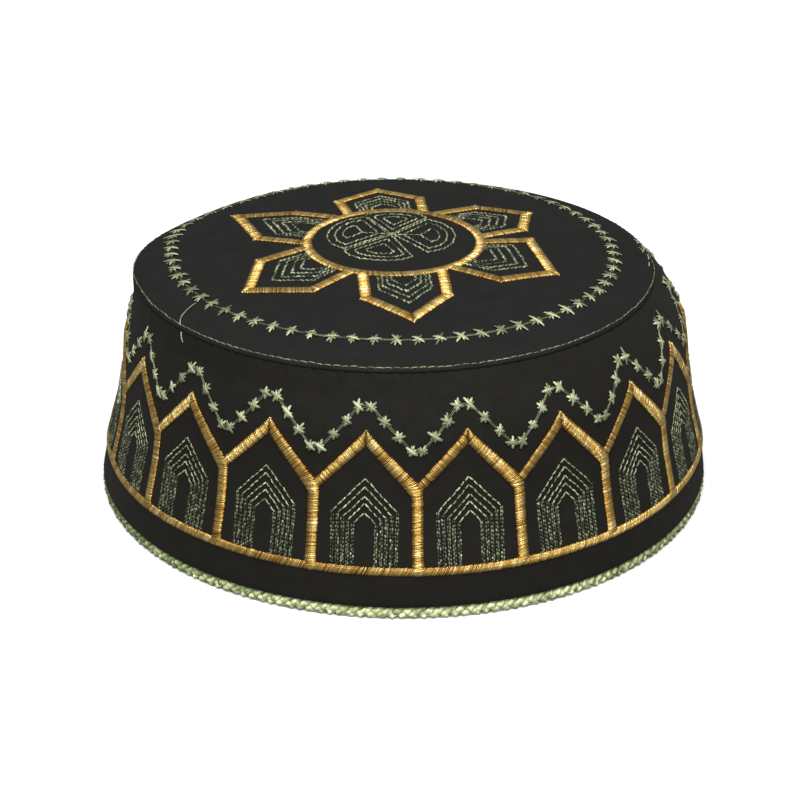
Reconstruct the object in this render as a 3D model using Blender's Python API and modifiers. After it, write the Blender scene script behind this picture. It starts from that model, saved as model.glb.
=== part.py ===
"""A round, stiffened skullcap: a shallow domed crown set on a tapering side band, a plaited
edge round the mouth, and two raised gold trims, an arcade of pointed arches on the band and
a six-petalled flower on the crown. Metres, +Z up, origin on the floor at the mouth's centre.
Angles round the cap start at -Y, its front, and grow towards +X."""

import math

import bmesh
import bpy

# Driving dimensions, in metres
MOUTH_RADIUS = 0.0950  # outside of the plaited edge
BRAID_HEIGHT = 0.0036
BRAID_WIDTH = 0.0036
BRAID_PROUD = 0.0004  # how far the plait stands out past the band
BRAID_ROUNDING = 0.0008  # how much its corners are rounded off
SEAM_RADIUS = 0.0794  # the crown's edge, where the band is sewn to it
SEAM_HEIGHT = 0.0689
CROWN_RISE = 0.0086  # height of the dome above its edge
CROWN_SHIFT = 0.0030  # the soft top leans this far towards -X
CROWN_TURN = math.radians(1.6)  # and is turned this much, falling away to the back
CROWN_WALL = 0.0016
BAND_WALL = 0.0018
GAP = 0.0003  # clearance between pieces that are sewn together

# The gold trims
TRIM_PILE = 0.0008  # how thick the padded gold stitching is
ARCHES = 19
ARCADE_TURN = math.radians(2.5)  # angle of the post nearest the front
FOOT_MARGIN = 0.0100  # from the band's lower edge up to the arcade
HEAD_MARGIN = 0.0125  # from the gables' tips up to the band's upper edge
RAIL_WIDTH = 0.0022  # the ring that the posts stand on
POST_WIDTH = 0.0035
GABLE_WIDTH = 0.0036
GABLE_TIP = 0.0007  # the blunt end where two gables meet
GABLE_SHARE = 0.39  # the gables' share of the arcade's height
FLOWER_TURN = math.radians(6.0)  # angle of the petal nearest the front
FLOWER_SHIFT = 0.0021  # the flower sits this far to the front of the crown's middle
RING_INNER = 0.0247
RING_WIDTH = 0.0032
PETAL_WIDTH = 0.0032
PETAL_MARGIN = 0.0232  # from a petal's tip out to the crown's edge
PETAL_FOOT_TURN = math.radians(29.2)  # half the angle that a petal takes up on the ring
PETAL_SHOULDER = 0.54  # where it is widest, as a share of the way from the ring to the tip

# The petals, worked by hand and so not quite alike: degrees that the tip is turned from its
# even place, the tip's reach as a share, and degrees out to the first and second shoulder
PETALS = (
    (0.0, 1.00, -19.0, 18.0),
    (1.0, 0.95, -19.5, 33.0),
    (0.0, 0.96, -19.0, 18.0),
    (0.0, 0.96, -19.0, 21.0),
    (-8.0, 1.09, -20.5, 18.0),
    (2.0, 1.00, -20.0, 22.0),
)

FACETS = 4 * ARCHES
SHARP_TURN = math.radians(40.0)
WELD = 0.00001

# The band's outer outline from foot to top: share of its height, share of its taper inward,
# and share of the crown's lean that it follows
BAND_OUTLINE = (
    (0.000, 0.000, 0.0),
    (0.155, 0.090, 0.0),
    (0.385, 0.310, 0.0),
    (0.610, 0.465, 0.0),
    (0.800, 0.625, 0.0),
    (0.920, 0.840, 0.3),
    (1.000, 1.000, 1.0),
)

# The dome from its middle to its edge: share of the edge's radius, share of the rise
CROWN_OUTLINE = (
    (0.000, 1.000),
    (0.170, 0.985),
    (0.340, 0.925),
    (0.580, 0.730),
    (0.850, 0.385),
    (1.000, 0.000),
)

# Places that follow from the driving dimensions
BAND_FOOT_RADIUS = MOUTH_RADIUS - BRAID_PROUD
BAND_TOP = SEAM_HEIGHT - CROWN_WALL
BAND_TAPER = BAND_FOOT_RADIUS - SEAM_RADIUS
FOOT_SLOPE = BAND_OUTLINE[1][1] * BAND_TAPER / (BAND_OUTLINE[1][0] * (BAND_TOP - BRAID_HEIGHT))
BAND_FOOT = BRAID_HEIGHT + GAP + BAND_WALL * max(FOOT_SLOPE, 0.0)
ARCADE_FOOT = BAND_FOOT + FOOT_MARGIN
ARCADE_TIP = BAND_TOP - HEAD_MARGIN
GABLE_VALLEY = ARCADE_TIP - GABLE_SHARE * (ARCADE_TIP - ARCADE_FOOT)
PETAL_TIP = SEAM_RADIUS - PETAL_MARGIN
RING_OUTER = RING_INNER + RING_WIDTH
CUT_REACH = 3 * (GAP + TRIM_PILE)  # how far the arcade's cutters pass the band on each side


def clear_scene():
    for old in list(bpy.data.objects):
        bpy.data.objects.remove(old, do_unlink=True)


def new_collection(name):
    collection = bpy.data.collections.new(name)
    bpy.context.scene.collection.children.link(collection)
    return collection


def material(name, colour, roughness, metallic=0.0):
    made = bpy.data.materials.new(name)
    made.use_nodes = True
    shader = made.node_tree.nodes["Principled BSDF"]
    shader.inputs["Base Color"].default_value = (*colour, 1.0)
    shader.inputs["Roughness"].default_value = roughness
    shader.inputs["Metallic"].default_value = metallic
    return made


def between(rows, column, share):
    """The value in a column of an outline, straight between the rows, at a share of the first."""
    for low, high in zip(rows, rows[1:]):
        if share <= high[0]:
            break
    part = (share - low[0]) / (high[0] - low[0])
    return low[column] + part * (high[column] - low[column])


def band_radius(height):
    share = (height - BAND_FOOT) / (BAND_TOP - BAND_FOOT)
    return BAND_FOOT_RADIUS - BAND_TAPER * between(BAND_OUTLINE, 1, share)


def crown_height(radius):
    """Height of the dome above the crown's edge."""
    return CROWN_RISE * between(CROWN_OUTLINE, 1, radius / SEAM_RADIUS)


def turned(name, profile, collection, closed=False):
    """A profile of (radius, height) points turned once round +Z, as a plain mesh object."""
    mesh = bpy.data.meshes.new(name)
    count = len(profile)
    edges = [(i, (i + 1) % count) for i in range(count if closed else count - 1)]
    mesh.from_pydata([(radius, 0.0, height) for radius, height in profile], edges, [])
    obj = bpy.data.objects.new(name, mesh)
    collection.objects.link(obj)
    screw = obj.modifiers.new("turn", "SCREW")
    screw.axis = "Z"
    screw.angle = math.tau
    screw.steps = screw.render_steps = FACETS
    screw.use_merge_vertices = True
    screw.merge_threshold = WELD
    graph = bpy.context.evaluated_depsgraph_get()
    obj.data = bpy.data.meshes.new_from_object(obj.evaluated_get(graph))
    obj.modifiers.clear()
    obj.data.shade_smooth()
    obj.data.set_sharp_from_angle(angle=SHARP_TURN)
    return obj


def add_wall(obj, thickness, inward):
    solid = obj.modifiers.new("wall", "SOLIDIFY")
    solid.thickness = thickness
    solid.offset = -1.0 if inward else 1.0
    solid.use_even_offset = True


def cut(obj, cutter, operation="DIFFERENCE"):
    boolean = obj.modifiers.new("cut_" + cutter.name, "BOOLEAN")
    boolean.operation = operation
    boolean.solver = "EXACT"
    boolean.object = cutter


def inset(outline, widths):
    """A convex outline, anticlockwise, with each side moved inward by its own width."""
    count = len(outline)
    lines = []
    for i, width in enumerate(widths):
        (ax, ay), (bx, by) = outline[i], outline[(i + 1) % count]
        length = math.hypot(bx - ax, by - ay)
        normal = ((ay - by) / length, (bx - ax) / length)
        lines.append((*normal, normal[0] * ax + normal[1] * ay + width))
    corners = []
    for i in range(count):
        (a, b, e), (c, d, f) = lines[i - 1], lines[i]
        det = a * d - b * c
        corners.append(((e * d - b * f) / det, (a * f - e * c) / det))
    return corners


def cutter(name, prisms, collection):
    """One cutter of separate prisms, each a list of corners at one end and the same at the other."""
    shape = bmesh.new()
    for near, far in prisms:
        lower = [shape.verts.new(point) for point in near]
        upper = [shape.verts.new(point) for point in far]
        shape.faces.new(lower)
        shape.faces.new(upper)
        for i in range(len(lower)):
            j = (i + 1) % len(lower)
            shape.faces.new((lower[i], lower[j], upper[j], upper[i]))
    bmesh.ops.recalc_face_normals(shape, faces=shape.faces)
    mesh = bpy.data.meshes.new(name)
    shape.to_mesh(mesh)
    shape.free()
    obj = bpy.data.objects.new(name, mesh)
    obj.hide_render = True
    obj.display_type = "WIRE"
    collection.objects.link(obj)
    return obj


def side_prism(outline, angle):
    """An outline of (along the band, height) points, drawn once inside the band and once outside
    it, at an angle. It spreads out from the axis, so that neighbours never meet."""
    ends = []
    for offset in (-CUT_REACH, CUT_REACH):
        end = []
        for along, height in outline:
            radius = band_radius(height)
            depth = radius + offset
            side = along * depth / radius
            x = depth * math.sin(angle) + side * math.cos(angle)
            y = side * math.sin(angle) - depth * math.cos(angle)
            end.append((x, y, height))
        ends.append(end)
    return ends


def top_prism(outline, low, high):
    """An outline of (x, y) points, pushed up from one height to another."""
    return [[(x, y, height) for x, y in outline] for height in (low, high)]


def flower_points(outline, middle=0.0):
    """(radius, angle) points about the flower's middle as (x, y), turned on to an angle."""
    return [
        (radius * math.sin(middle + turn), -FLOWER_SHIFT - radius * math.cos(middle + turn))
        for radius, turn in outline
    ]


def flower_disc(radius, low, high):
    circle = [(radius, math.tau * i / FACETS) for i in range(FACETS)]
    return top_prism(flower_points(circle), low, high)


# Where the crown and its flower sit: at the seam's height, leaning a little to one side
def crown_seat(collection):
    seat = bpy.data.objects.new("crown_seat", None)
    seat.location = (-CROWN_SHIFT, 0.0, SEAM_HEIGHT)
    seat.rotation_euler.x = -CROWN_TURN
    collection.objects.link(seat)
    return seat


# The crown: stiffened cloth, worked into a shallow dome
def make_crown(collection, seat):
    profile = [(share * SEAM_RADIUS, rise * CROWN_RISE) for share, rise in CROWN_OUTLINE]
    crown = turned("crown", profile, collection)
    crown.parent = seat
    add_wall(crown, CROWN_WALL, inward=True)
    crown.data.materials.append(material("black_satin_crown", (0.028, 0.028, 0.028), 0.6))


# The side band: the same cloth, tapering up to the seam and leaning over with the crown
def make_side_band(collection):
    height = BAND_TOP - BAND_FOOT
    profile = [
        (BAND_FOOT_RADIUS - taper * BAND_TAPER, BAND_FOOT + share * height)
        for share, taper, _ in reversed(BAND_OUTLINE)
    ]
    band = turned("side_band", profile, collection)
    for vertex in band.data.vertices:
        follow = between(BAND_OUTLINE, 2, (vertex.co.z - BAND_FOOT) / height)
        vertex.co.z -= follow * math.tan(CROWN_TURN) * vertex.co.y
        vertex.co.x -= follow * CROWN_SHIFT
    add_wall(band, BAND_WALL, inward=True)
    band.data.materials.append(material("black_satin_band", (0.022, 0.021, 0.019), 0.6))


# The plaited edge: a cord of cotton worked round the mouth, pressed flat where the cap stands
def make_edge_braid(collection):
    outer = MOUTH_RADIUS
    inner = MOUTH_RADIUS - BRAID_WIDTH
    profile = [
        (outer - BRAID_ROUNDING, BRAID_HEIGHT),
        (outer, BRAID_HEIGHT - BRAID_ROUNDING),
        (outer, BRAID_ROUNDING),
        (outer - BRAID_ROUNDING, 0.0),
        (inner + BRAID_ROUNDING, 0.0),
        (inner, BRAID_ROUNDING),
        (inner, BRAID_HEIGHT - BRAID_ROUNDING),
        (inner + BRAID_ROUNDING, BRAID_HEIGHT),
    ]
    braid = turned("edge_braid", profile, collection, closed=True)
    braid.data.materials.append(material("green_plait", (0.26, 0.33, 0.17), 0.75))


# The gold arcade: a rail with posts and gables, cut from a skin that follows the band
def make_gold_arcade(collection, cutters, gold):
    heights = [BAND_FOOT + row[0] * (BAND_TOP - BAND_FOOT) for row in BAND_OUTLINE]
    heights = [ARCADE_FOOT] + [z for z in heights if ARCADE_FOOT < z < ARCADE_TIP] + [ARCADE_TIP]
    profile = [(band_radius(z) + GAP, z) for z in reversed(heights)]
    arcade = turned("gold_arcade", profile, collection)
    add_wall(arcade, TRIM_PILE, inward=False)
    half_turn = math.tan(math.pi / ARCHES)
    half_foot = band_radius(ARCADE_FOOT) * half_turn
    half_valley = band_radius(GABLE_VALLEY) * half_turn
    half_tip = band_radius(ARCADE_TIP) * half_turn - 0.5 * GABLE_TIP
    bay = [
        (-half_foot, ARCADE_FOOT),
        (half_foot, ARCADE_FOOT),
        (half_valley, GABLE_VALLEY),
        (0.0, ARCADE_TIP),
        (-half_valley, GABLE_VALLEY),
    ]
    post = 0.5 * POST_WIDTH
    window = inset(bay, (RAIL_WIDTH, post, GABLE_WIDTH, GABLE_WIDTH, post))
    spandrel = [
        (0.0, GABLE_VALLEY),
        (half_tip, ARCADE_TIP),
        (half_tip, ARCADE_TIP + CUT_REACH),
        (-half_tip, ARCADE_TIP + CUT_REACH),
        (-half_tip, ARCADE_TIP),
    ]
    prisms = []
    for bay_number in range(ARCHES):
        post_angle = ARCADE_TURN + math.tau * bay_number / ARCHES
        middle = post_angle + math.pi / ARCHES
        prisms.append(side_prism(window, middle))
        prisms.append(side_prism(spandrel, post_angle))
    cut(arcade, cutter("arcade_openings", prisms, cutters))
    arcade.data.materials.append(gold)


# The gold flower: a ring with six pointed petals, cut from a skin that follows the dome
def make_gold_flower(collection, cutters, seat, gold):
    last = FLOWER_SHIFT + (PETAL_TIP + PETAL_WIDTH) * max(petal[1] for petal in PETALS)
    radii = [row[0] * SEAM_RADIUS for row in CROWN_OUTLINE]
    radii = [r for r in radii if r < last] + [last]
    profile = [(radius, crown_height(radius) + GAP) for radius in radii]
    flower = turned("gold_flower", profile, collection)
    add_wall(flower, TRIM_PILE, inward=False)
    shoulder = RING_OUTER + PETAL_SHOULDER * (PETAL_TIP - RING_OUTER)
    sides = (PETAL_WIDTH, PETAL_WIDTH, PETAL_WIDTH, PETAL_WIDTH, -RING_WIDTH)
    low = -CROWN_RISE
    high = 2 * CROWN_RISE
    edge = []
    windows = []
    for number, (tip_turn, reach, first, second) in enumerate(PETALS):
        petal = [
            (RING_OUTER, -PETAL_FOOT_TURN),
            (shoulder, math.radians(first)),
            (PETAL_TIP * reach, math.radians(tip_turn)),
            (shoulder, math.radians(second)),
            (RING_OUTER, PETAL_FOOT_TURN),
        ]
        outline = flower_points(petal, FLOWER_TURN + math.tau * number / len(PETALS))
        edge += outline
        windows.append(top_prism(inset(outline, sides), low, high))
    openings = cutter("petal_windows", windows, cutters)
    disc = cutter("ring_disc", [flower_disc(RING_OUTER, low - GAP, high + GAP)], cutters)
    rim = cutter("flower_edge", [top_prism(edge, low, high)], cutters)
    hole = cutter("ring_hole", [flower_disc(RING_INNER, low, high)], cutters)
    cut(openings, disc)
    cut(flower, rim, "INTERSECT")
    cut(flower, openings)
    cut(flower, hole)
    for piece in (flower, openings, disc, rim, hole):
        piece.parent = seat
    flower.data.materials.append(gold)


clear_scene()
parts = new_collection("tubeteika_skullcap")
helpers = new_collection("cutters")
gold_thread = material("gold_thread", (0.60, 0.36, 0.08), 0.45, 0.3)
crown_place = crown_seat(parts)
make_crown(parts, crown_place)
make_side_band(parts)
make_edge_braid(parts)
make_gold_arcade(parts, helpers, gold_thread)
make_gold_flower(parts, helpers, crown_place, gold_thread)
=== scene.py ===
"""A round black skullcap: a domed crown on a stiffened side band, worked in gold and sage-green
thread and edged with a plaited braid. Metres, +Z up, origin on the floor under the mouth's
middle. Angles round the cap start at -Y, its front, and grow towards +X."""

from math import cos, pi, radians, sin, tan, tau

import bpy
import numpy as np
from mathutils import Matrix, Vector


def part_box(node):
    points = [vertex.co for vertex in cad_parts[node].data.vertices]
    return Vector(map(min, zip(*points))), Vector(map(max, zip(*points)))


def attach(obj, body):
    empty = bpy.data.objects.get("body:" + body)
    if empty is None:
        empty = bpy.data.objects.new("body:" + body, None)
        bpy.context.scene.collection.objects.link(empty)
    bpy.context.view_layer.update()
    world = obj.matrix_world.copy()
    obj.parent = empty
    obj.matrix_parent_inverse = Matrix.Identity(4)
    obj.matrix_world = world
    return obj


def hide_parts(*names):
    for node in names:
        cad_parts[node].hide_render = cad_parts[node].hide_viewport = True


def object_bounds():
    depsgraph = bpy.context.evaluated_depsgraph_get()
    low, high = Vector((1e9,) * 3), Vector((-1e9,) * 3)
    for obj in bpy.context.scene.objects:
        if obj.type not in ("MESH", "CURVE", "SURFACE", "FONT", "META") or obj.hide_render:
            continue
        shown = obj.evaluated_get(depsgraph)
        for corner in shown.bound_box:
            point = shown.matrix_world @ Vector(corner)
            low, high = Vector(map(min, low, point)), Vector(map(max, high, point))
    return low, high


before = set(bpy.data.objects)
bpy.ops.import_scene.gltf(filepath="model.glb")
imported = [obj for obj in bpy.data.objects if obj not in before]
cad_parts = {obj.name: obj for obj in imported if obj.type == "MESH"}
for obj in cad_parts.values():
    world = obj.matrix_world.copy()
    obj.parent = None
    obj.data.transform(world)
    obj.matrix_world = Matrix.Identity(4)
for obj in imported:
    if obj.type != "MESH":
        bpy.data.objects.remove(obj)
cad_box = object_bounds()
chance = np.random.default_rng(19)

# The crown is a disc of black cotton satin over stiffening, pressed into a shallow dome.
# Soft at the top, it leans to its left and falls away to the back, and its edge is turned
# down over the side band and stitched to it all round.
crown_low, crown_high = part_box("crown")
seam_radius = 0.5 * (crown_high.x - crown_low.x)
crown_shift = -0.5 * (crown_high.x + crown_low.x)
seam_height = 0.0689
crown_rise = 0.0086
crown_turn = radians(1.6)
crown_wall = 0.0016
crown_waves = 0.00008
rim_roll = 0.0012

# Where its edge is pressed down or pulled up: degrees round the cap, metres down, and focus
rim_drops = ((236, 0.0024, 8.0), (-80, -0.0014, 5.0), (175, 0.0008, 5.0))

# From the middle to the edge, with one place beyond the middle so that the dome is level there
crown_shares = (-0.17, 0.0, 0.17, 0.34, 0.58, 0.85, 1.0)
crown_rises = (0.985, 1.0, 0.985, 0.925, 0.73, 0.385, 0.0)


def smooth_curve(at, knots, values):
    """A smooth curve through the knots. Between two knots it is a cubic, whose slope at each
    end is that of the parabola through that knot and its two neighbours."""
    knots = np.array(knots)
    values = np.array(values)
    slopes = np.gradient(values, knots)
    piece = np.clip(np.searchsorted(knots, at) - 1, 0, len(knots) - 2)
    width = knots[piece + 1] - knots[piece]
    t = (at - knots[piece]) / width
    rise = values[piece + 1] - values[piece]
    start = width * slopes[piece]
    finish = width * slopes[piece + 1]
    bend = (start + finish - 2 * rise) * t + (3 * rise - 2 * start - finish)
    return values[piece] + t * (start + t * bend)


def swells(angle, bumps):
    """A sum of smooth bumps round the cap. Each has its amount at its own angle and dies away
    as the exponential of its focus times the cosine of the angle from there, less one."""
    return sum(
        amount * np.exp(focus * (np.cos(angle - radians(middle)) - 1))
        for middle, amount, focus in bumps
    )


def crown_surface(x, y):
    """The crown's outer face above (x, y) in its own plane: a smooth dome of the distance from
    the middle with a few shallow waves, its last millimetre rolled over as a quarter circle,
    then turned about X and moved to its seat."""
    share = np.hypot(x, y) / seam_radius
    over = np.clip(1 - (1 - share) * seam_radius / rim_roll, 0, 1)
    waves = np.sin(70 * x + 40 * y + 1.0) + np.sin(95 * y - 60 * x) + np.sin(140 * x + 2.0)
    height = crown_rise * smooth_curve(share, crown_shares, crown_rises)
    height = height - rim_roll * (1 - np.sqrt(1 - over**2)) + crown_waves * waves * (1 - share**4)
    height = height - swells(np.arctan2(x, -y), rim_drops) * np.clip(share, 0, 1) ** 5
    return np.stack(
        [
            x - crown_shift,
            y * cos(crown_turn) + height * sin(crown_turn),
            seam_height - y * sin(crown_turn) + height * cos(crown_turn),
        ],
        -1,
    )


def raised(surface, first, second, lift):
    """Points at a height over a surface of two parameters, and its outward normals there: the
    cross product of two short steps over the surface."""
    step = 0.00002
    here = surface(first, second)
    normal = np.cross(surface(first + step, second) - here, surface(first, second + step) - here)
    normal = normal / np.linalg.norm(normal, axis=-1, keepdims=True)
    return here + np.asarray(lift)[..., None] * normal, normal


def add_piece(name, points, faces, corner_uv, finishes, tones=None, face_finish=None):
    """A smooth mesh object from arrays: faces is a list of (count, corners) index arrays, and
    corner_uv the map's values in the same order. tones is one number for each point."""
    mesh = bpy.data.meshes.new(name)
    sizes = np.concatenate([np.full(len(group), group.shape[1]) for group in faces])
    corners = np.concatenate([group.ravel() for group in faces])
    mesh.vertices.add(len(points))
    mesh.vertices.foreach_set("co", np.asarray(points, np.float32).ravel())
    mesh.loops.add(len(corners))
    mesh.loops.foreach_set("vertex_index", corners.astype(np.int32))
    mesh.polygons.add(len(sizes))
    mesh.polygons.foreach_set("loop_start", (np.cumsum(sizes) - sizes).astype(np.int32))
    if face_finish is not None:
        mesh.polygons.foreach_set("material_index", face_finish.astype(np.int32))
    mesh.update(calc_edges=True)
    layer = mesh.uv_layers.new(name="cloth_map")
    layer.uv.foreach_set("vector", np.asarray(corner_uv, np.float32).ravel())
    if tones is not None:
        made = mesh.attributes.new("tone", "FLOAT", "POINT")
        made.data.foreach_set("value", np.asarray(tones, np.float32))
    mesh.shade_smooth()
    for finish in finishes:
        mesh.materials.append(finish)
    piece = bpy.data.objects.new(name, mesh)
    bpy.context.scene.collection.objects.link(piece)
    return piece


def grid_corners(rows, columns, round_rows):
    """The row and column of each corner of a grid's quads. Columns go round, and so may rows:
    a corner past the seam keeps on counting, so that a map doesn't jump back there."""
    row = np.arange(rows if round_rows else rows - 1)[:, None, None] + np.array([0, 0, 1, 1])
    column = np.arange(columns)[None, :, None] + np.array([0, 1, 1, 0])
    row, column = np.broadcast_arrays(row, column)
    return row.reshape(-1, 4), column.reshape(-1, 4)


def node(tree, kind, inputs=None, **settings):
    """A shader node with its settings, each input linked to a socket or set to a value."""
    made = tree.nodes.new(kind)
    for name, value in settings.items():
        setattr(made, name, value)
    for socket, value in (inputs or {}).items():
        if isinstance(value, bpy.types.NodeSocket):
            tree.links.new(value, made.inputs[socket])
        else:
            made.inputs[socket].default_value = value
    return made


def new_group(name, inputs, outputs):
    """A node group with (name, kind, value) inputs and (name, kind) outputs, and its two ends."""
    tree = bpy.data.node_groups.new(name, "ShaderNodeTree")
    for title, kind, value in inputs:
        socket = tree.interface.new_socket(title, in_out="INPUT", socket_type=kind)
        if value is not None:
            socket.default_value = value
    for title, kind in outputs:
        tree.interface.new_socket(title, in_out="OUTPUT", socket_type=kind)
    return tree, tree.nodes.new("NodeGroupInput"), tree.nodes.new("NodeGroupOutput")


def new_material(name, **constants):
    """A material with a Principled shader, whose unchanging values are set on its sockets."""
    made = bpy.data.materials.new(name)
    made.use_nodes = True
    shader = made.node_tree.nodes["Principled BSDF"]
    for title, value in constants.items():
        shader.inputs[title.replace("_", " ").title()].default_value = value
    return made, made.node_tree, shader


def satin_weave_group():
    """Five-end satin: lengthwise threads as half waves side by side, each pressed down where a
    crosswise thread binds it, in every fifth cell, two cells further on in each row."""
    tree, start, finish = new_group(
        "satin_weave",
        [("Place", "NodeSocketVector", None), ("Thread", "NodeSocketFloat", 0.0002)],
        [("Height", "NodeSocketFloat"), ("Mottle", "NodeSocketFloat")],
    )
    scaled = node(tree, "ShaderNodeVectorMath", {0: start.outputs["Place"]}, operation="DIVIDE")
    threads = {axis: start.outputs["Thread"] for axis in range(3)}
    spread = node(tree, "ShaderNodeCombineXYZ", threads)
    tree.links.new(spread.outputs[0], scaled.inputs[1])
    split = node(tree, "ShaderNodeSeparateXYZ", {0: scaled.outputs[0]})
    column = node(tree, "ShaderNodeMath", {0: split.outputs[0]}, operation="FLOOR")
    row = node(tree, "ShaderNodeMath", {0: split.outputs[1]}, operation="FLOOR")
    order = node(
        tree,
        "ShaderNodeMath",
        {0: column.outputs[0], 1: 2.0, 2: row.outputs[0]},
        operation="MULTIPLY_ADD",
    )
    fifth = node(tree, "ShaderNodeMath", {0: order.outputs[0], 1: 5.0}, operation="FLOORED_MODULO")
    bound = node(tree, "ShaderNodeMath", {0: fifth.outputs[0], 1: 0.5}, operation="LESS_THAN")
    wave = node(tree, "ShaderNodeMath", {0: split.outputs[0], 1: pi}, operation="MULTIPLY")
    ridge = node(tree, "ShaderNodeMath", {0: wave.outputs[0]}, operation="SINE")
    ridge = node(tree, "ShaderNodeMath", {0: ridge.outputs[0]}, operation="ABSOLUTE")
    dip = node(
        tree,
        "ShaderNodeMath",
        {0: bound.outputs[0], 1: -0.6, 2: ridge.outputs[0]},
        operation="MULTIPLY_ADD",
    )
    cloud = node(
        tree,
        "ShaderNodeTexNoise",
        {"Vector": start.outputs["Place"], "Scale": 160.0, "Detail": 5.0, "Roughness": 0.6},
    )
    tree.links.new(dip.outputs[0], finish.inputs["Height"])
    tree.links.new(cloud.outputs[0], finish.inputs["Mottle"])
    return tree


satin_weave = satin_weave_group()


def cloth_finish(name, place, light, dark, thread, sheen):
    """Black cotton: its colour and roughness drift with the weave's mottling, and the weave is
    its bump. place is the coordinates' output on the Texture Coordinate node."""
    made, tree, shader = new_material(name, sheen_weight=sheen, sheen_roughness=0.55)
    shader.inputs["Specular IOR Level"].default_value = 0.14
    shader.inputs["Sheen Tint"].default_value = (0.85, 0.82, 0.74, 1.0)
    coordinates = node(tree, "ShaderNodeTexCoord")
    weave = node(tree, "ShaderNodeGroup", node_tree=satin_weave)
    weave.inputs["Thread"].default_value = thread
    tree.links.new(coordinates.outputs[place], weave.inputs["Place"])
    ramp = node(tree, "ShaderNodeValToRGB", {0: weave.outputs["Mottle"]})
    ramp.color_ramp.elements[0].position = 0.3
    ramp.color_ramp.elements[0].color = (*dark, 1.0)
    ramp.color_ramp.elements[1].position = 0.7
    ramp.color_ramp.elements[1].color = (*light, 1.0)
    rough = node(
        tree,
        "ShaderNodeMapRange",
        {0: weave.outputs["Mottle"], 1: 0.3, 2: 0.7, 3: 0.82, 4: 0.66},
    )
    bump = node(
        tree,
        "ShaderNodeBump",
        {"Height": weave.outputs["Height"], "Distance": 0.00004, "Strength": 0.6},
    )
    tree.links.new(ramp.outputs[0], shader.inputs["Base Color"])
    tree.links.new(rough.outputs[0], shader.inputs["Roughness"])
    tree.links.new(bump.outputs[0], shader.inputs["Normal"])
    return made


crown_finish = cloth_finish(
    "crown_satin", "Object", (0.0105, 0.0105, 0.01), (0.0075, 0.0075, 0.0074), 0.00022, 0.01
)
inside_finish = cloth_finish(
    "inside_cotton", "Object", (0.014, 0.014, 0.014), (0.010, 0.010, 0.010), 0.0004, 0.02
)

crown_columns = 456
crown_rings = 44
under_rings = 16


def make_crown():
    """Rings of a closed shell: out along the underside, a wall below the outer face and kept
    level inside the rolled edge, then in over the outer face from that edge, with a point at
    the middle of each side."""
    angle = np.arange(crown_columns) * tau / crown_columns
    under = (seam_radius - 0.4 * crown_wall) * np.linspace(0, 1, under_rings + 1)[1:, None]
    over = seam_radius * (1 - np.linspace(0, 1, crown_rings + 1)[:-1, None] ** 1.5)
    level = np.minimum(under, seam_radius - 1.1 * rim_roll)
    above, normal = raised(crown_surface, level * np.sin(angle), -level * np.cos(angle), 0.0)
    lower = crown_surface(under * np.sin(angle), -under * np.cos(angle)) - crown_wall * normal
    lower[..., 2] = above[..., 2] - crown_wall
    upper = crown_surface(over * np.sin(angle), -over * np.cos(angle))
    points = np.concatenate([lower, upper])
    rows = len(points)
    peak = crown_surface(0.0, 0.0)
    poles = np.array([peak - (0.0, 0.0, crown_wall), peak])
    row, column = grid_corners(rows, crown_columns, False)
    quads = row * crown_columns + column % crown_columns
    turn = np.arange(crown_columns)
    after = (turn + 1) % crown_columns
    first_pole = np.full(crown_columns, rows * crown_columns)
    last = (rows - 1) * crown_columns
    bottom = np.stack([first_pole, after, turn], 1)
    top = np.stack([last + turn, last + after, first_pole + 1], 1)
    points = np.concatenate([points.reshape(-1, 3), poles])
    faces = [quads, bottom, top]
    corners = np.concatenate([group.ravel() for group in faces])
    inside = [row[:, 3] < under_rings, np.ones(len(bottom)), np.zeros(len(top))]
    return add_piece(
        "crown_cloth",
        points,
        faces,
        points[corners, :2],
        [crown_finish, inside_finish],
        face_finish=np.concatenate(inside),
    )


crown_cloth = make_crown()
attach(crown_cloth, "root")
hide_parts("crown")

# The side band is a strip of the same cotton, backed with stiffening and joined into a ring.
# It tapers to the crown and follows its lean near the top, where the seam draws it into
# small puckers. Its foot is turned in over the stiffening as a round hem.
band_foot = 0.00415
band_top = seam_height - rim_roll
band_wall = 0.0018
foot_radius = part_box("side_band")[1].x
band_taper = foot_radius - seam_radius
pucker_depth = 0.00007
pucker_length = 0.0026
pucker_counts = (163, 101)
band_waves = 0.0002

# Where the wall is pressed in half way up: degrees round the cap, metres, and focus
side_presses = ((-104, 0.0018, 6.0),)

# From foot to top: shares of the height, of the taper, and of the crown's lean
band_shares = (0.0, 0.155, 0.385, 0.61, 0.8, 0.92, 1.0)
band_tapers = (0.0, 0.09, 0.31, 0.465, 0.625, 0.84, 1.0)
band_leans = (0.0, 0.0, 0.0, 0.0, 0.0, 0.3, 1.0)


def band_radius(height):
    """The band's radius at a height: the foot's, less the share of the taper reached there."""
    share = (height - band_foot) / (band_top - band_foot)
    return foot_radius - band_taper * smooth_curve(share, band_shares, band_tapers)


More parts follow.
